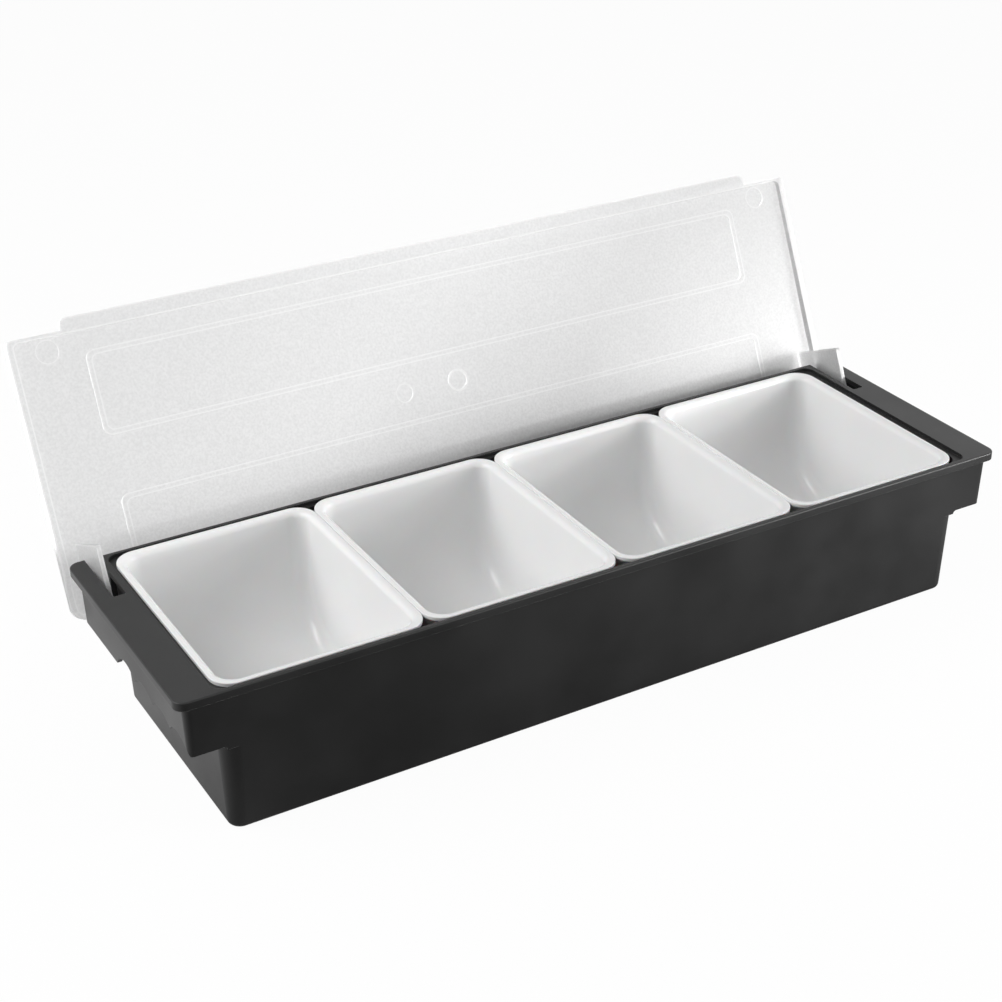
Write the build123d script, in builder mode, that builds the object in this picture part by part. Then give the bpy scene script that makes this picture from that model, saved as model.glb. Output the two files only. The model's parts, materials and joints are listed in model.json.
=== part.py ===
"""Bar garnish tray: a black tray, four lift-out inserts and a hinged clear lid, shown open.

Millimetres. The origin is the centre of the tray's underside, +X runs along the tray to the
right, +Y to the hinge side at the back and +Z up. The lid stands open on its back stop.
"""
from math import acos, atan2, cos, degrees, hypot, radians, sin, sqrt, tan
import os

from build123d import *

# Tray: overall size and walls
tray_length = 500.0
tray_width = 150.5
tray_height = 85.5
wall = 2.6
draft_angle = 2.0
lip_height = 4.6
ledge_corner = 6.0
edge_round = 0.8
floor_thickness = 2.6
floor_round = 3.0
cavity_round = 2.5

# Tray: the end ledges, their skirts and the body between them
body_end_inset = 21.4
body_corner = 10.0
skirt_set_in = 4.2
skirt_drop = 33.6
skirt_corner = 4.0
skirt_web_round = 2.0
ledge_width = 20.0
opening_corner = 6.0
seat_depth = 2.0

# Tray: the finger scallops in the end skirts
scallop_count = 4
scallop_pitch = 23.3
scallop_rise = 5.0
scallop_depth = 8.0
scallop_front_margin = 15.6
end_scallop_radius = 13.3

# Hinge: slots through the ledges, cheeks below them and the turning axis
slot_inset = 9.5
slot_width = 7.0
slot_length = 43.3
slot_corner = 0.8
notch_drop = 29.0
pivot_inset = 12.6
pivot_drop = 15.8
stub_radius = 3.0
stub_clearance = 0.05
stub_grip = 1.8
cheek_thickness = 2.5
cheek_radius = 6.5

# Inserts: how many, their play in the tray and their walls
insert_count = 4
insert_gap = 0.3
row_left_gap = 2.1
row_play = 7.8
insert_front_gap = 1.0
insert_play = 2.1
rim_overhang = 2.6
rim_corner = 12.0
rim_edge_round = 0.5
insert_wall = 2.2
insert_draft = 1.5
insert_floor_gap = 7.1
scoop_radius = 38.0
scoop_front_radius = 14.0
insert_inner_corner = 9.5
rim_inner_round = 3.4

# Lid: panel, rim, handle flange and hinge arms
lid_gap = 0.3
stop_gap = 0.3
swing_clearance = 0.3
panel_thickness = 2.3
panel_clearance = 0.8
rim_front_depth = 3.4
lid_overhang = 0.4
lid_shift = 0.6
lid_rim_width = 3.6
lid_front_wall = 2.0
lid_front_corner = 3.0
lid_rear_corner = 8.0
lid_pocket_corner = 3.0
lid_edge_round = 0.6
flange_reach = 6.3
flange_thickness = 2.0
flange_end_inset = 29.5
flange_corner = 5.0
arm_thickness = 2.4
arm_outset = 1.4
arm_length = 40.6
arm_corner = 1.5
arm_wall_gap = 0.6
arm_front_gap = 3.2

# Lid: embossed frames and moulding marks on the inner face
frame_end_margin = 40.4
frame_edge_margin = 12.8
frame_height = 46.5
frame_corner = 5.0
frame_band = 3.0
frame_rise = 0.6
gate_ring_radius = 6.5
gate_ring_band = 1.2
gate_ring_rise = 0.4
gate_disc_radius = 5.0
gate_disc_offset = 34.7
mark_depth = 0.4
pin_mark_radius = 6.0
pin_mark_end_inset = 21.3
pin_mark_front_inset = 9.3

# One overrun serves every cut that leaves the material
overrun = 1.0

# Levels and faces of the tray that the other pieces follow
back_edge = tray_width / 2
seat_level = tray_height - seat_depth
ledge_underside = tray_height - wall
lip_underside = tray_height - lip_height
skirt_bottom = tray_height - skirt_drop
draft_slope = tan(radians(draft_angle))
drafted_width = tray_width - 2 * wall
body_length = tray_length - 2 * body_end_inset
opening_length = tray_length - 2 * ledge_width
opening_width = tray_width - 2 * wall
skirt_growth = draft_slope * (ledge_underside - skirt_bottom)

# The hinge axis, and where the lid's rear corner meets the tray's back wall
pivot_y = back_edge - pivot_inset
pivot_z = tray_height - pivot_drop
swing_radius = hypot(pivot_inset, pivot_drop) + swing_clearance
rim_plane_height = pivot_drop + lid_gap
rim_rear_depth = swing_radius + panel_clearance - rim_plane_height
lid_slope = degrees(atan2(rim_rear_depth - rim_front_depth, tray_width))
wall_lean = radians(draft_angle)
wall_reach = (pivot_inset - wall) * cos(wall_lean) - (pivot_drop - wall) * sin(wall_lean)
corner_bearing = degrees(acos(pivot_inset / swing_radius))
stop_bearing = degrees(acos((wall_reach + stop_gap) / swing_radius))
open_angle = corner_bearing + draft_angle + stop_bearing

# The arms clear the skirt's back wall when the lid is closed and the front end of the slot all the way
arm_setback = 2 * wall + skirt_growth + arm_length * sin(radians(lid_slope)) + arm_wall_gap
arm_width = slot_length - arm_setback - arm_front_gap


def drafted_block(length, width, corner, top, bottom):
    """A block with rounded corners whose sides lean inwards from its top to its bottom."""
    with BuildPart() as block:
        with BuildSketch(Plane.XY.offset(top)):
            RectangleRounded(length, width, corner)
        extrude(amount=bottom - top, taper=draft_angle)
    return block.part


# The space under the ledges, inside the skirts
hollow_length = tray_length - 2 * (skirt_set_in + wall)
hollow_width = drafted_width - 2 * wall
hollow_corner = skirt_corner - wall / 2
hollow_bottom = skirt_bottom - skirt_web_round - overrun
hollow = drafted_block(hollow_length, hollow_width, hollow_corner, ledge_underside, hollow_bottom)

# The tray's inside, from the seat down to the floor
cavity_length = body_length - 2 * wall
cavity_width = drafted_width - 2 * wall
with BuildPart() as cavity:
    add(drafted_block(cavity_length, cavity_width, body_corner - wall, seat_level, floor_thickness))
    fillet(cavity.faces().sort_by(Axis.Z)[0].edges(), radius=cavity_round)

# The body below the ledges, with its rounded bottom edge
with BuildPart() as body:
    add(drafted_block(body_length, drafted_width, body_corner, ledge_underside, 0))
    fillet(body.faces().sort_by(Axis.Z)[0].edges(), radius=floor_round)

# Where the skirt's long walls run out into the body's rounded corners
web_x = body_length / 2 - body_corner + sqrt(body_corner**2 - (body_corner - wall) ** 2)

# Radius and centres of the scallops: arcs that meet in cusps, the front one tighter than the rest
scallop_radius = (scallop_pitch / 2) ** 2 / (2 * scallop_rise) + scallop_rise / 2
scallop_top = skirt_bottom + scallop_depth
first_cusp_y = scallop_front_margin + scallop_pitch / 2 - back_edge
end_scallop_reach = sqrt(end_scallop_radius**2 - (end_scallop_radius - scallop_rise) ** 2)
skirt_cut = skirt_set_in + wall + skirt_growth + overrun

# The cheek on the skirt's side fills the space up to the skirt, halfway into its wall
outer_cheek_thickness = slot_inset - skirt_set_in - wall / 2

with BuildPart() as tray_base:
    # Lip all round, with the skirts below it and the hollow under the ledges
    with BuildSketch(Plane.XY.offset(lip_underside)):
        RectangleRounded(tray_length, tray_width, ledge_corner)
    extrude(amount=lip_height)
    fillet(tray_base.faces().sort_by(Axis.Z)[-1].edges(), radius=edge_round)
    skirt_length = tray_length - 2 * skirt_set_in
    web_bottom = skirt_bottom - skirt_web_round
    add(drafted_block(skirt_length, drafted_width, skirt_corner, ledge_underside, web_bottom))
    add(hollow, mode=Mode.SUBTRACT)
    for side in (-1, 1):
        # Level lower edge of each end skirt, with a small round web where it meets the body
        with BuildSketch(Plane.XZ) as below_skirt:
            with Locations((side * web_x, skirt_bottom)):
                cut_align = (Align.MIN if side > 0 else Align.MAX, Align.MAX)
                Rectangle(tray_length / 2, skirt_web_round + overrun, align=cut_align)
            upper_corners = below_skirt.vertices().group_by(Axis.Y)[-1].sort_by(Axis.X)
            fillet(upper_corners[0 if side > 0 else -1], radius=skirt_web_round)
        extrude(amount=tray_width / 2, both=True, mode=Mode.SUBTRACT)
        # Scallops along the end skirt
        end_origin = (side * (tray_length / 2 + overrun), 0, 0)
        with BuildSketch(Plane(origin=end_origin, x_dir=(0, 1, 0), z_dir=(1, 0, 0))):
            with Locations((first_cusp_y - end_scallop_reach, scallop_top - end_scallop_radius)):
                Circle(end_scallop_radius)
            for index in range(1, scallop_count):
                scallop_y = scallop_front_margin + index * scallop_pitch - back_edge
                with Locations((scallop_y, scallop_top - scallop_radius)):
                    Circle(scallop_radius)
        extrude(amount=-side * (skirt_cut + overrun), mode=Mode.SUBTRACT)
    add(body.part)
    # Opening down to the seat, then the inside
    with BuildSketch(Plane.XY.offset(seat_level)):
        RectangleRounded(opening_length, opening_width, opening_corner)
    extrude(amount=seat_depth + overrun, mode=Mode.SUBTRACT)
    add(cavity.part, mode=Mode.SUBTRACT)
    for side in (-1, 1):
        # Slot through the ledge, open at the back, with the notch in the skirt behind it
        slot_x = side * (tray_length / 2 - slot_inset - slot_width / 2)
        slot_y = back_edge - slot_length / 2
        with BuildSketch(Plane.XY.offset(tray_height - notch_drop)) as slot:
            with Locations((slot_x, slot_y + overrun / 2)):
                Rectangle(slot_width, slot_length + overrun)
            fillet(slot.vertices().sort_by(Axis.Y)[:2], radius=slot_corner)
        extrude(amount=notch_drop + overrun, mode=Mode.SUBTRACT)
        # Hinge cheeks on both sides of the slot, from the ledge down round the axis
        for flank in (-1, 1):
            cheek_x = slot_x + flank * slot_width / 2
            cheek_plane = Plane(origin=(cheek_x, pivot_y, pivot_z), x_dir=(0, 1, 0), z_dir=(1, 0, 0))
            cheek_top = ledge_underside - pivot_z
            cheek_back = pivot_inset - 3 * wall / 2
            cheek_body = outer_cheek_thickness if flank == side else cheek_thickness
            with BuildSketch(cheek_plane):
                Circle(cheek_radius)
                Rectangle(cheek_radius, cheek_top, align=(Align.MAX, Align.MIN))
                Rectangle(cheek_back, cheek_top, align=(Align.MIN, Align.MIN))
                Rectangle(cheek_back, cheek_radius, align=(Align.MIN, Align.MAX))
            extrude(amount=flank * cheek_body)
            with BuildSketch(cheek_plane):
                Circle(stub_radius + stub_clearance)
            extrude(amount=flank * cheek_thickness, mode=Mode.SUBTRACT)

tray_base.part.label = "tray_base"

# Inserts: plan size from the opening, less the play, and depth down to a gap over the floor
insert_length = (opening_length - row_play - (insert_count - 1) * insert_gap) / insert_count
insert_width = opening_width - insert_play
insert_y = insert_front_gap + (insert_width - opening_width) / 2
skin_length = insert_length - 2 * rim_overhang
skin_width = insert_width - 2 * rim_overhang
skin_depth = tray_height - floor_thickness - insert_floor_gap
inner_length = skin_length - 2 * insert_wall
inner_width = skin_width - 2 * insert_wall
inner_depth = skin_depth - insert_wall


def scoop_block(centre_x, length, width, depth, skin):
    """A block with drafted sides, a wide arc at its lower back edge and rounded corners.

    skin is added to every radius, so that one block fits inside another with an even wall.
    """
    lean = depth * tan(radians(insert_draft))
    top_plane = Plane((centre_x, insert_y, tray_height))
    side_plane = Plane(origin=top_plane.origin, x_dir=(0, 1, 0), z_dir=(1, 0, 0))
    with BuildPart() as block:
        with BuildSketch(side_plane):
            with BuildLine():
                Polyline(
                    (-width / 2, 0),
                    (-width / 2 + lean, -depth),
                    (width / 2 - lean, -depth),
                    (width / 2, 0),
                    close=True,
                )
            make_face()
            fillet(vertices().group_by(Axis.Y)[0].sort_by(Axis.X)[0], radius=scoop_front_radius + skin)
            fillet(vertices().group_by(Axis.Y)[0].sort_by(Axis.X)[-1], radius=scoop_radius + skin)
        extrude(amount=length / 2, both=True)
        draft(block.faces().filter_by(Axis.X), top_plane, -insert_draft)
        ends = block.faces().sort_by(Axis.X)
        end_edges = ends[0].edges() + ends[-1].edges()
        rounded = end_edges.filter_by_position(Axis.Z, -tray_height, tray_height - overrun)
        fillet(rounded, radius=insert_inner_corner + skin)
    return block.part


def make_insert(centre_x):
    """One lift-out insert: a rim that hangs on the seat, and a scoop-bottomed body below it."""
    outer = scoop_block(centre_x, skin_length, skin_width, skin_depth, insert_wall)
    inner = scoop_block(centre_x, inner_length, inner_width, inner_depth, 0)
    with BuildPart() as insert:
        with BuildSketch(Plane((centre_x, insert_y, seat_level))):
            RectangleRounded(insert_length, insert_width, rim_corner)
        extrude(amount=seat_depth)
        fillet(insert.faces().sort_by(Axis.Z)[-1].edges(), radius=rim_edge_round)
        add(outer)
        add(inner, mode=Mode.SUBTRACT)
        rim_top = insert.faces().filter_by(Axis.Z).sort_by(Axis.Z)[-1]
        fillet(rim_top.inner_wires()[0].edges(), radius=rim_inner_round)
    return insert.part


inserts = []
for index in range(insert_count):
    left = row_left_gap - opening_length / 2 + index * (insert_length + insert_gap)
    insert_part = make_insert(left + insert_length / 2)
    insert_part.label = f"insert_{index + 1}"
    inserts.append(insert_part)

# Lid: drawn as it lies closed, on a plane at the hinge axis that is turned to the open angle
turn = radians(open_angle)
closed_frame = Plane(
    origin=(lid_shift, pivot_y, pivot_z),
    x_dir=(1, 0, 0),
    z_dir=(0, sin(turn), cos(turn)),
)
tilt = radians(open_angle - lid_slope)
inner_face = Plane(
    origin=closed_frame.from_local_coords((0, pivot_inset, rim_plane_height + rim_rear_depth)),
    x_dir=(1, 0, 0),
    z_dir=(0, sin(tilt), cos(tilt)),
)
outer_face = inner_face.offset(panel_thickness)
rim_face = closed_frame.offset(rim_plane_height)
panel_depth = tray_width / cos(radians(lid_slope))
lid_length = tray_length + 2 * lid_overhang
lid_front_y = pivot_inset - tray_width
lid_block_height = rim_rear_depth + panel_thickness + overrun

# The shallow space inside the lid's rim, up to the panel's inner face
with BuildPart() as pocket:
    with BuildSketch(rim_face.offset(-overrun)) as pocket_outline:
        with Locations((0, lid_front_y + lid_front_wall)):
            pocket_length = lid_length - 2 * lid_rim_width
            pocket_width = tray_width - lid_front_wall - lid_rim_width
            Rectangle(pocket_length, pocket_width, align=(Align.CENTER, Align.MIN))
        fillet(pocket_outline.vertices(), radius=lid_pocket_corner)
    extrude(amount=lid_block_height + overrun)
    split(bisect_by=inner_face, keep=Keep.BOTTOM)

with BuildPart() as lid:
    # Panel and wedge-shaped rim
    with BuildSketch(rim_face) as lid_plan:
        with Locations((0, pivot_inset)):
            Rectangle(lid_length, tray_width, align=(Align.CENTER, Align.MAX))
        fillet(lid_plan.vertices().sort_by(Axis.Y)[:2], radius=lid_front_corner)
        fillet(lid_plan.vertices().sort_by(Axis.Y)[-2:], radius=lid_rear_corner)
    extrude(amount=lid_block_height)
    split(bisect_by=outer_face, keep=Keep.BOTTOM)
    add(pocket.part, mode=Mode.SUBTRACT)
    # Round relief in the rim that lets the tray's back edge pass as the lid swings
    hinge_axis = Plane(origin=closed_frame.origin, x_dir=(0, 1, 0), z_dir=(1, 0, 0))
    with BuildSketch(hinge_axis):
        Circle(swing_radius)
    extrude(amount=lid_length / 2 + overrun, both=True, mode=Mode.SUBTRACT)
    # Handle flange beyond the front edge, flush with the rim
    with BuildSketch(rim_face) as flange:
        with Locations((0, lid_front_y + lid_front_wall)):
            flange_length = lid_length - 2 * flange_end_inset
            Rectangle(flange_length, lid_front_wall + flange_reach, align=(Align.CENTER, Align.MAX))
        fillet(flange.vertices().sort_by(Axis.Y)[:2], radius=flange_corner)
    extrude(amount=flange_thickness)
    # Two embossed frames
    frame_length = lid_length - 2 * frame_end_margin
    rear_centre = frame_edge_margin + frame_height / 2
    for centre in (rear_centre, panel_depth - rear_centre):
        with BuildSketch(inner_face):
            with Locations((0, -centre)):
                RectangleRounded(frame_length, frame_height, frame_corner)
                RectangleRounded(
                    frame_length - 2 * frame_band,
                    frame_height - 2 * frame_band,
                    frame_corner - frame_band / 2,
                    mode=Mode.SUBTRACT,
                )
        extrude(amount=-frame_rise)
    # Gate ring, disc mark and the two round marks near the front corners
    with BuildSketch(inner_face):
        with Locations((0, -panel_depth / 2)):
            Circle(gate_ring_radius)
            Circle(gate_ring_radius - gate_ring_band, mode=Mode.SUBTRACT)
    extrude(amount=-gate_ring_rise)
    with BuildSketch(inner_face):
        with Locations((-gate_disc_offset, -panel_depth / 2)):
            Circle(gate_disc_radius)
        mark_x = lid_length / 2 - pin_mark_end_inset
        mark_y = pin_mark_front_inset - panel_depth
        with Locations((-mark_x, mark_y), (mark_x, mark_y)):
            Circle(pin_mark_radius)
    extrude(amount=mark_depth, mode=Mode.SUBTRACT)
    # Hinge arms in the outer half of their slots, each with a stub on both sides
    arm_root = Plane(origin=inner_face.origin, x_dir=inner_face.y_dir, z_dir=(1, 0, 0))
    for side in (-1, 1):
        slot_offset = side * (tray_length / 2 - slot_inset - slot_width / 2)
        with BuildSketch(arm_root.offset(slot_offset + side * arm_outset)) as arm:
            with Locations((-arm_setback, 0)):
                Rectangle(arm_width, arm_length, align=(Align.MAX, Align.MAX))
            fillet(arm.vertices().sort_by(Axis.Y)[:2], radius=arm_corner)
        extrude(amount=arm_thickness / 2, both=True)
        with BuildSketch(hinge_axis.offset(slot_offset)):
            Circle(stub_radius)
        extrude(amount=slot_width / 2 + stub_grip, both=True)
    # Softened edges of the outer face, all round
    top_of_lid = lid.faces().sort_by(Axis(outer_face.origin, outer_face.z_dir))[-1]
    fillet(top_of_lid.edges(), radius=lid_edge_round)

lid.part.label = "lid"

os.makedirs("parts", exist_ok=True)
export_step(tray_base.part, "parts/tray_base.step")
export_step(lid.part, "parts/lid.step")
for insert_part in inserts:
    export_step(insert_part, f"parts/{insert_part.label}.step")
print(f"hinge axis y {pivot_y:.3f}, z {pivot_z:.3f}; open angle {open_angle:.3f}")
print(f"lid slope {lid_slope:.3f}; rear rim {rim_rear_depth:.3f}; swing radius {swing_radius:.3f}")
print(f"inserts {insert_length:.2f} by {insert_width:.2f}, {skin_depth:.2f} deep")
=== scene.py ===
"""Bar garnish tray: a satin black tray, four glossy white inserts and a frosted lid in a pale studio.

Lengths are in metres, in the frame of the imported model.
"""
import json
import logging
from dataclasses import dataclass, field
from enum import Enum
from math import radians

import bpy
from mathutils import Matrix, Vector

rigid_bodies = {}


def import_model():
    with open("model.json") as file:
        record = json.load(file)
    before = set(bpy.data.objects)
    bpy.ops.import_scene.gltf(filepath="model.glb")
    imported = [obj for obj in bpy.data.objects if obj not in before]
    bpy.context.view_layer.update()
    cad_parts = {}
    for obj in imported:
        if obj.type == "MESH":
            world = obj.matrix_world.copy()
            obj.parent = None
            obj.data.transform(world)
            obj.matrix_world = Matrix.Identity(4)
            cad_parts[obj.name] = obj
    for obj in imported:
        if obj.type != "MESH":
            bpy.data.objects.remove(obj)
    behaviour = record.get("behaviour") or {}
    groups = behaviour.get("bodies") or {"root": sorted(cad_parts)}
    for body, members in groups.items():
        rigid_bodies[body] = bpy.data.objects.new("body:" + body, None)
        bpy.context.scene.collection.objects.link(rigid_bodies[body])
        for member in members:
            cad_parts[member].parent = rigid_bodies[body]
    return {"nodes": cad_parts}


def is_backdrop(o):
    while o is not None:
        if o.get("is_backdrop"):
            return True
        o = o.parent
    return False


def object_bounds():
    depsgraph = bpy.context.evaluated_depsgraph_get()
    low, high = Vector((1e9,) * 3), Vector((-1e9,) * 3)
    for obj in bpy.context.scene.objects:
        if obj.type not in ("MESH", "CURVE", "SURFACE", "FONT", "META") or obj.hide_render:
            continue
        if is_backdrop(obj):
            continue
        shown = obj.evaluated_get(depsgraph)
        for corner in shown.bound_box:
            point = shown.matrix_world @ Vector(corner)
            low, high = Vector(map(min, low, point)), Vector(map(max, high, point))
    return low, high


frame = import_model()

LOG = logging.getLogger("garnish_tray")

Colour = tuple[float, float, float]
Triple = tuple[float, float, float]
Socket = bpy.types.NodeSocket

# Most of a noise's values lie between these two.
NOISE_LOW = 0.3
NOISE_HIGH = 0.7

# The openness at which a ridge counts as a full edge.
EDGE_OPENNESS = 0.6
EDGE_SAMPLES = 4

# Places of the colour sockets on a Mix node, which has some for every kind of value.
MIX_SHARE = 0
MIX_FIRST = 6
MIX_SECOND = 7
MIX_RESULT = 2


class Slot(Enum):
    """The record's material slots."""

    BLACK = "black_plastic"
    WHITE = "white_plastic"
    FROSTED = "frosted_plastic"


class Ray(Enum):
    """Outputs of the Light Path node that the studio and the lid ask for."""

    CAMERA = "Is Camera Ray"
    GLOSSY = "Is Glossy Ray"
    TRANSMISSION = "Is Transmission Ray"
    SHADOW = "Is Shadow Ray"


class Graph:
    """A node tree that is being filled, with short calls for the nodes that the finishes share."""

    def __init__(self, tree: bpy.types.NodeTree) -> None:
        """Empty the tree.

        Args:
            tree: The node tree of a material or of the world.
        """
        self.tree = tree
        tree.nodes.clear()

    def add(self, kind: str, **values: object) -> bpy.types.Node:
        """Add a node.

        Args:
            kind: The node's type name.
            values: Its own properties by name, set before it is linked.

        Returns:
            The new node.
        """
        node = self.tree.nodes.new(kind)
        for name, value in values.items():
            setattr(node, name, value)
        return node

    def link(self, source: Socket, target: Socket) -> None:
        """Join an output to an input.

        Args:
            source: The output socket.
            target: The input socket.
        """
        self.tree.links.new(source, target)

    def noise(self, size: float, detail: float) -> Socket:
        """Add noise on the piece's own coordinates.

        Args:
            size: Typical width of a blotch.
            detail: Octaves of finer noise.

        Returns:
            The noise's value, from 0 to 1 and mostly near a half.
        """
        place = self.add("ShaderNodeTexCoord")
        node = self.add("ShaderNodeTexNoise")
        node.inputs["Scale"].default_value = 1 / size
        node.inputs["Detail"].default_value = detail
        self.link(place.outputs["Object"], node.inputs["Vector"])
        return node.outputs["Fac"]

    def spread(self, value: Socket, low: float, high: float) -> Socket:
        """Stretch the middle of a noise to a range of values.

        Args:
            value: A noise's value.
            low: What it gives at its low end.
            high: What it gives at its high end.

        Returns:
            The stretched value.
        """
        node = self.add("ShaderNodeMapRange")
        node.inputs["From Min"].default_value = NOISE_LOW
        node.inputs["From Max"].default_value = NOISE_HIGH
        node.inputs["To Min"].default_value = low
        node.inputs["To Max"].default_value = high
        self.link(value, node.inputs["Value"])
        return node.outputs["Result"]

    def blend(self, share: Socket, first: Colour | Socket, second: Colour) -> Socket:
        """Mix two colours.

        Args:
            share: How much of the second colour shows, from 0 to 1.
            first: The colour where share is 0, fixed or from another node.
            second: The colour where share is 1.

        Returns:
            The mixed colour.
        """
        node = self.add("ShaderNodeMix", data_type="RGBA")
        if isinstance(first, tuple):
            node.inputs[MIX_FIRST].default_value = (*first, 1.0)
        else:
            self.link(first, node.inputs[MIX_FIRST])
        node.inputs[MIX_SECOND].default_value = (*second, 1.0)
        self.link(share, node.inputs[MIX_SHARE])
        return node.outputs[MIX_RESULT]

    def relief(self, height: Socket, depth: float, below: Socket | None = None) -> Socket:
        """Turn a height into a surface normal.

        Args:
            height: The height, from 0 to 1.
            depth: How far a height of 1 stands up.
            below: The normal that the relief lies on, if it isn't the mesh's own.

        Returns:
            The normal.
        """
        node = self.add("ShaderNodeBump")
        node.inputs["Distance"].default_value = depth
        self.link(height, node.inputs["Height"])
        if below is not None:
            self.link(below, node.inputs["Normal"])
        return node.outputs["Normal"]

    def soft_edges(self, radius: float) -> Socket:
        """Round the piece's sharp edges in its shading.

        Args:
            radius: The round's radius.

        Returns:
            The normal.
        """
        node = self.add("ShaderNodeBevel", samples=EDGE_SAMPLES)
        node.inputs["Radius"].default_value = radius
        return node.outputs["Normal"]

    def edges(self, reach: float) -> Socket:
        """Find the piece's ridges and outer edges.

        Args:
            reach: How far in from an edge it still counts.

        Returns:
            A value that is 0 on a flat face and rises towards 1 at an edge.
        """
        node = self.add("ShaderNodeAmbientOcclusion", samples=EDGE_SAMPLES, inside=True, only_local=True)
        node.inputs["Distance"].default_value = reach
        away = self.add("ShaderNodeMapRange")
        away.inputs["From Min"].default_value = 1.0
        away.inputs["From Max"].default_value = EDGE_OPENNESS
        self.link(node.outputs["AO"], away.inputs["Value"])
        return away.outputs["Result"]

    def rays(self, *kinds: Ray) -> Socket:
        """Tell some kinds of ray from the others.

        Args:
            kinds: The kinds of ray to pick.

        Returns:
            1 for a ray of any of these kinds and 0 for the rest.
        """
        path = self.add("ShaderNodeLightPath")
        picked = path.outputs[kinds[0].value]
        for kind in kinds[1:]:
            either = self.add("ShaderNodeMath", operation="MAXIMUM")
            self.link(picked, either.inputs[0])
            self.link(path.outputs[kind.value], either.inputs[1])
            picked = either.outputs[0]
        return picked

    def layer(self, share: Socket, below: Socket, above: Socket) -> Socket:
        """Lay one shader over another.

        Args:
            share: How much of the upper shader shows, from 0 to 1.
            below: The lower shader.
            above: The upper shader.

        Returns:
            The layered shader.
        """
        mix = self.add("ShaderNodeMixShader")
        self.link(share, mix.inputs["Fac"])
        self.link(below, mix.inputs[1])
        self.link(above, mix.inputs[2])
        return mix.outputs["Shader"]

    def finish(self, shader: Socket, kind: str = "ShaderNodeOutputMaterial") -> None:
        """Join the last shader to the tree's output.

        Args:
            shader: The shader to show.
            kind: The output node's type name.
        """
        self.link(shader, self.add(kind).inputs["Surface"])


def new_graph(name: str) -> tuple[bpy.types.Material, Graph]:
    """Make an empty node material.

    Args:
        name: The material's name.

    Returns:
        The material and its graph.
    """
    material = bpy.data.materials.new(name)
    material.use_nodes = True
    return material, Graph(material.node_tree)


@dataclass(frozen=True)
class SatinBlack:
    """Black moulded plastic with an even satin face, a slight haze and a fine spark-eroded grain."""

    deep: Colour = (0.0065, 0.0065, 0.0065)
    worn: Colour = (0.0085, 0.0085, 0.0085)
    sheen_low: float = 0.40
    sheen_high: float = 0.50
    cloud_size: float = 0.045
    grain_size: float = 0.0005
    grain_depth: float = 0.000012
    edge_round: float = 0.0005
    index: float = 1.42
    haze: float = 0.22
    haze_spread: float = 0.3

    def make(self) -> bpy.types.Material:
        """Build the material.

        Returns:
            The satin black material.
        """
        material, graph = new_graph("satin_black")
        clouds = graph.noise(self.cloud_size, detail=3.0)
        grain = graph.noise(self.grain_size, detail=1.0)
        shader = graph.add("ShaderNodeBsdfPrincipled")
        shader.inputs["IOR"].default_value = self.index
        shader.inputs["Sheen Weight"].default_value = self.haze
        shader.inputs["Sheen Roughness"].default_value = self.haze_spread
        colour = graph.blend(graph.spread(clouds, 0.0, 1.0), self.deep, self.worn)
        graph.link(colour, shader.inputs["Base Color"])
        graph.link(graph.spread(clouds, self.sheen_low, self.sheen_high), shader.inputs["Roughness"])
        normal = graph.relief(grain, self.grain_depth, graph.soft_edges(self.edge_round))
        graph.link(normal, shader.inputs["Normal"])
        graph.finish(shader.outputs["BSDF"])
        return material


@dataclass(frozen=True)
class GlossWhite:
    """Glossy white moulded plastic that lets a little light in under its skin."""

    clean: Colour = (0.9, 0.9, 0.9)
    shaded: Colour = (0.87, 0.87, 0.87)
    gloss_low: float = 0.16
    gloss_high: float = 0.26
    ripple_size: float = 0.03
    ripple_depth: float = 0.00006
    cloud_size: float = 0.06
    under_skin: float = 0.1
    under_skin_reach: float = 0.002
    index: float = 1.49

    def make(self) -> bpy.types.Material:
        """Build the material.

        Returns:
            The glossy white material.
        """
        material, graph = new_graph("gloss_white")
        clouds = graph.noise(self.cloud_size, detail=2.0)
        ripple = graph.noise(self.ripple_size, detail=1.0)
        shader = graph.add("ShaderNodeBsdfPrincipled")
        shader.inputs["IOR"].default_value = self.index
        shader.inputs["Subsurface Weight"].default_value = self.under_skin
        shader.inputs["Subsurface Scale"].default_value = self.under_skin_reach
        colour = graph.blend(graph.spread(clouds, 0.0, 1.0), self.clean, self.shaded)
        graph.link(colour, shader.inputs["Base Color"])
        graph.link(graph.spread(clouds, self.gloss_low, self.gloss_high), shader.inputs["Roughness"])
        graph.link(graph.relief(ripple, self.ripple_depth), shader.inputs["Normal"])
        graph.finish(shader.outputs["BSDF"])
        return material


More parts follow.
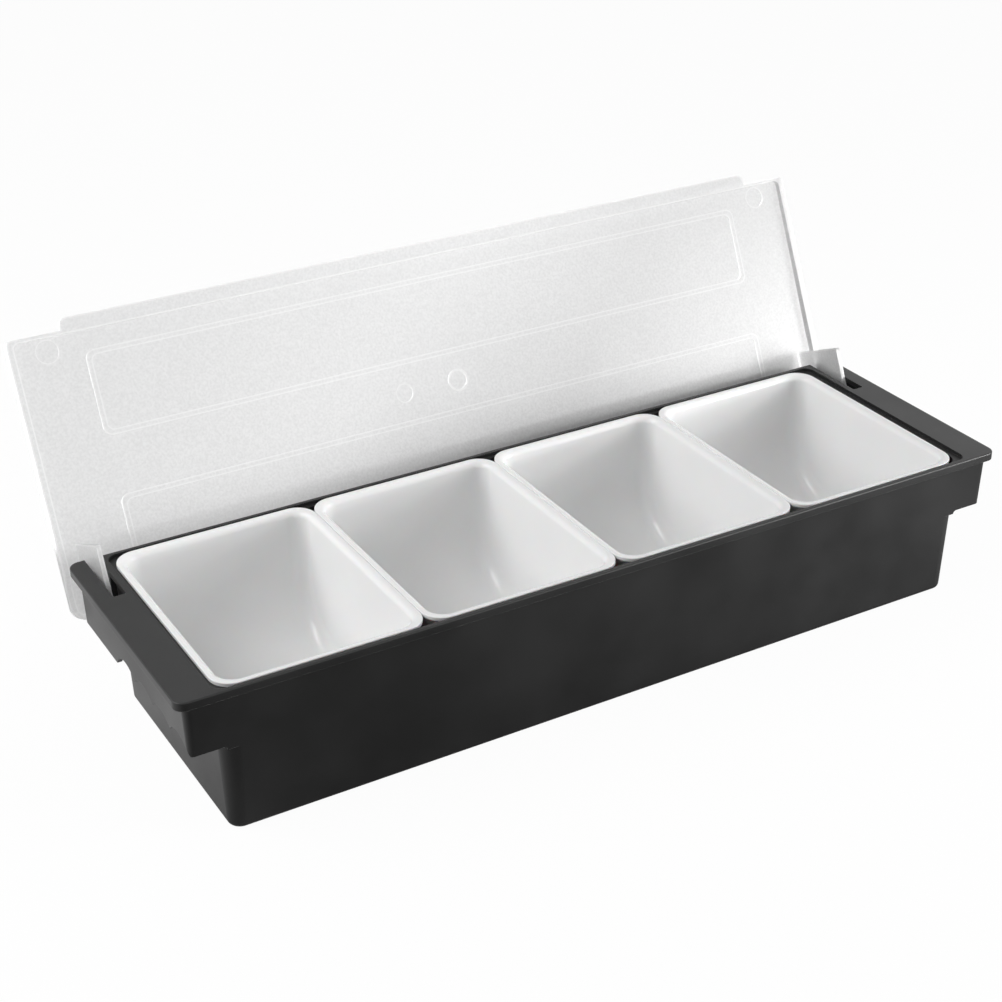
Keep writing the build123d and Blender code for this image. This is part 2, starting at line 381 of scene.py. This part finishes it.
@dataclass(frozen=True)
class FrostedClear:
    """Clear plastic with a fine frosted grain on its faces and a painted highlight along its edges and
    ridges.
    """

    dull_tint: Colour = (0.68, 0.68, 0.68)
    clear_tint: Colour = (0.79, 0.79, 0.79)
    # Painted highlight: the pale colour along edges and ridges, and how far in from an edge it reaches.
    painted_edge_highlight: Colour = (0.95, 0.95, 0.95)
    edge_highlight_reach: float = 0.0012
    frost_low: float = 0.29
    frost_high: float = 0.36
    see_through: float = 0.75
    grain_size: float = 0.0014
    grain_depth: float = 0.00006
    cloud_size: float = 0.05
    index: float = 1.46

    def make(self) -> bpy.types.Material:
        """Build the material.

        Returns:
            The frosted clear material.
        """
        material, graph = new_graph("frosted_clear")
        clouds = graph.noise(self.cloud_size, detail=2.0)
        grain = graph.noise(self.grain_size, detail=1.0)
        shader = graph.add("ShaderNodeBsdfPrincipled")
        shader.inputs["IOR"].default_value = self.index
        shader.inputs["Transmission Weight"].default_value = self.see_through
        speckle = graph.blend(graph.spread(grain, 0.0, 1.0), self.dull_tint, self.clear_tint)
        # Painted highlight: the colour turns pale along the lid's edges and ridges, found by a short
        # inside occlusion.
        colour = graph.blend(graph.edges(self.edge_highlight_reach), speckle, self.painted_edge_highlight)
        graph.link(colour, shader.inputs["Base Color"])
        graph.link(graph.spread(clouds, self.frost_low, self.frost_high), shader.inputs["Roughness"])
        graph.link(graph.relief(grain, self.grain_depth), shader.inputs["Normal"])
        clear = graph.add("ShaderNodeBsdfTransparent")
        clear.inputs["Color"].default_value = (*self.clear_tint, 1.0)
        graph.finish(graph.layer(graph.rays(Ray.SHADOW), shader.outputs["BSDF"], clear.outputs["BSDF"]))
        return material


@dataclass(frozen=True)
class PaleFloor:
    """Plain white floor that keeps a faint shadow and is white behind the object; in reflections it
    shows painted light, bright at the back left and falling to painted shade at the front.
    """

    colour: Colour = (0.9, 0.9, 0.9)
    seen_glow: float = 0.96
    painted_reflection_share: float = 0.92
    # Painted light for reflections: painted shade at the front of the floor, bright at the back left.
    painted_front_shade: float = 0.09
    painted_back_light: float = 1.0
    front_end: float = 0.07
    back_end: float = 0.21
    towards_back_left: Triple = (-0.7, 0.7, 0.0)

    def make(self) -> bpy.types.Material:
        """Build the material.

        Returns:
            The floor's material.
        """
        material, graph = new_graph("pale_floor")
        board = graph.add("ShaderNodeBsdfDiffuse")
        board.inputs["Color"].default_value = (*self.colour, 1.0)
        glow = graph.add("ShaderNodeEmission")
        seen_share = self.part_of(graph, self.seen_glow, Ray.CAMERA, Ray.TRANSMISSION)
        seen = graph.layer(seen_share, board.outputs["BSDF"], glow.outputs["Emission"])
        # Glossy rays mostly see this painted light instead of the lit floor: painted shade in front,
        # bright at the back left.
        painted_reflection = graph.add("ShaderNodeEmission")
        graph.link(self.paint_floor_reflection(graph), painted_reflection.inputs["Strength"])
        painted_reflection_share = self.part_of(graph, self.painted_reflection_share, Ray.GLOSSY)
        graph.finish(graph.layer(painted_reflection_share, seen, painted_reflection.outputs["Emission"]))
        return material

    def part_of(self, graph: Graph, share: float, *kinds: Ray) -> Socket:
        """Work out how much of a layer a ray meets.

        Args:
            graph: The material's graph.
            share: How much of it the picked kinds of ray meet.
            kinds: The kinds of ray.

        Returns:
            The share for those kinds, and 0 for the rest.
        """
        amount = graph.add("ShaderNodeMath", operation="MULTIPLY")
        amount.inputs[1].default_value = share
        graph.link(graph.rays(*kinds), amount.inputs[0])
        return amount.outputs[0]

    def paint_floor_reflection(self, graph: Graph) -> Socket:
        """Paint the light that the mirrored floor shows: bright at the back left, falling off to painted
        shade at the front.

        Args:
            graph: The material's graph.

        Returns:
            The strength of the floor's painted mirrored light.
        """
        place = graph.add("ShaderNodeTexCoord")
        along = graph.add("ShaderNodeVectorMath", operation="DOT_PRODUCT")
        along.inputs[1].default_value = self.towards_back_left
        graph.link(place.outputs["Object"], along.inputs[0])
        level = graph.add("ShaderNodeMapRange")
        level.inputs["From Min"].default_value = self.front_end
        level.inputs["From Max"].default_value = self.back_end
        level.inputs["To Min"].default_value = self.painted_front_shade
        level.inputs["To Max"].default_value = self.painted_back_light
        graph.link(along.outputs["Value"], level.inputs["Value"])
        return level.outputs["Result"]


@dataclass(frozen=True)
class WhiteSurround:
    """The world: white where it is seen or mirrored, and a soft fill for everything else."""

    colour: Colour = (1.0, 1.0, 1.0)
    fill: float = 0.26
    seen: float = 1.0

    def apply(self) -> None:
        """Give the scene this world."""
        world = bpy.data.worlds.new("white_surround")
        world.use_nodes = True
        bpy.context.scene.world = world
        graph = Graph(world.node_tree)
        backdrop = graph.add("ShaderNodeBackground")
        backdrop.inputs["Color"].default_value = (*self.colour, 1.0)
        level = graph.add("ShaderNodeMapRange")
        level.inputs["To Min"].default_value = self.fill
        level.inputs["To Max"].default_value = self.seen
        graph.link(graph.rays(Ray.CAMERA, Ray.GLOSSY, Ray.TRANSMISSION), level.inputs["Value"])
        graph.link(level.outputs["Result"], backdrop.inputs["Strength"])
        graph.finish(backdrop.outputs["Background"], "ShaderNodeOutputWorld")


def dress(node: str, material: bpy.types.Material) -> bpy.types.Object:
    """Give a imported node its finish.

    Args:
        node: The node's name.
        material: The finish for all of its faces.

    Returns:
        The node's object.
    """
    piece = frame["nodes"][node]
    piece.data.materials.clear()
    piece.data.materials.append(material)
    return piece


@dataclass
class Tray:
    """The black tray with its ledges, skirts and hinge slots."""

    finish: SatinBlack = field(default_factory=SatinBlack)

    def build(self) -> list[bpy.types.Object]:
        """Dress the tray.

        Returns:
            Its pieces.
        """
        return [dress("tray_base", self.finish.make())]


@dataclass
class Inserts:
    """The row of white lift-out inserts."""

    count: int = 4
    finish: GlossWhite = field(default_factory=GlossWhite)

    def build(self) -> list[bpy.types.Object]:
        """Dress the inserts.

        Returns:
            Their pieces.
        """
        material = self.finish.make()
        return [dress(f"insert_{index + 1}", material) for index in range(self.count)]


@dataclass
class Lid:
    """The frosted lid with its handle flange, frames and hinge arms."""

    finish: FrostedClear = field(default_factory=FrostedClear)

    def build(self) -> list[bpy.types.Object]:
        """Dress the lid.

        Returns:
            Its pieces.
        """
        return [dress("lid", self.finish.make())]


@dataclass(frozen=True)
class Softbox:
    """A flat area lamp that points at a spot on the tray."""

    name: str
    place: Triple
    target: Triple
    width: float
    height: float
    watts: float

    def light(self) -> None:
        """Hang the lamp."""
        data = bpy.data.lights.new(self.name, "AREA")
        data.shape = "RECTANGLE"
        data.size = self.width
        data.size_y = self.height
        data.energy = self.watts
        lamp = bpy.data.objects.new(self.name, data)
        bpy.context.scene.collection.objects.link(lamp)
        lamp.location = self.place
        aim = Vector(self.target) - Vector(self.place)
        lamp.rotation_euler = aim.to_track_quat("-Z", "Y").to_euler()


@dataclass
class Studio:
    """Floor, surround, lamps and camera."""

    floor_size: float = 12.0
    floor_drop: float = 0.0002
    surround: WhiteSurround = field(default_factory=WhiteSurround)
    floor: PaleFloor = field(default_factory=PaleFloor)
    lamps: tuple[Softbox, ...] = (
        Softbox("key_left", (-1.0, 0.28, 0.88), (0.0, 0.0, 0.05), 0.9, 0.9, 12.0),
        Softbox("front_soft", (0.9, -1.05, 0.55), (0.1, 0.1, 0.12), 0.7, 0.7, 1.4),
        Softbox("right_low", (0.85, -0.8, 0.09), (0.25, -0.08, 0.03), 0.5, 0.16, 10.0),
        Softbox("right_near", (0.8, -0.5, 0.22), (0.22, -0.08, 0.04), 0.4, 0.3, 3.8),
        Softbox("right_high", (1.0, -0.75, 0.6), (0.25, 0.1, 0.15), 0.6, 0.6, 3.2),
    )
    camera_place: Triple = (-0.48955, -0.78956, 0.58945)
    camera_turn: Triple = (61.643, 0.432, -30.232)
    camera_lens: float = 69.79

    def build(self) -> None:
        """Set up everything round the object."""
        self.surround.apply()
        self.lay_floor()
        for lamp in self.lamps:
            lamp.light()
        self.place_camera()

    def lay_floor(self) -> None:
        """Lay the floor just below the tray."""
        bpy.ops.object.select_all(action="DESELECT")
        bpy.ops.mesh.primitive_plane_add(size=self.floor_size, location=(0, 0, -self.floor_drop))
        floor = bpy.context.object
        floor.name = "floor"
        floor.data.materials.append(self.floor.make())
        floor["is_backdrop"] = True

    def place_camera(self) -> None:
        """Put the camera at the photograph's viewpoint."""
        data = bpy.data.cameras.new("photo_camera")
        data.lens = self.camera_lens
        camera = bpy.data.objects.new("photo_camera", data)
        bpy.context.scene.collection.objects.link(camera)
        camera.location = self.camera_place
        camera.rotation_euler = tuple(radians(angle) for angle in self.camera_turn)
        bpy.context.scene.camera = camera


def clear_defaults() -> None:
    """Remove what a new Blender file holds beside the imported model."""
    for thing in list(bpy.data.objects):
        if thing.name in ("Cube", "Light", "Camera"):
            bpy.data.objects.remove(thing)


def box_numbers() -> list[list[float]]:
    """Measure the shown object.

    Returns:
        Its lowest and highest corner as plain lists.
    """
    bpy.context.view_layer.update()
    return [list(corner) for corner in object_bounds()]


def main() -> None:
    """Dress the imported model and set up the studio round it."""
    logging.basicConfig(level=logging.INFO, format="%(message)s")
    clear_defaults()
    cad_box = box_numbers()
    for part in (Tray(), Inserts(), Lid()):
        for piece in part.build():
            LOG.info("%s: %d faces", piece.name, len(piece.data.polygons))
    Studio().build()
    bpy.context.scene.view_settings.view_transform = "Standard"
    {"cad": cad_box, "visual": box_numbers()}


if __name__ == "__main__":
    main()
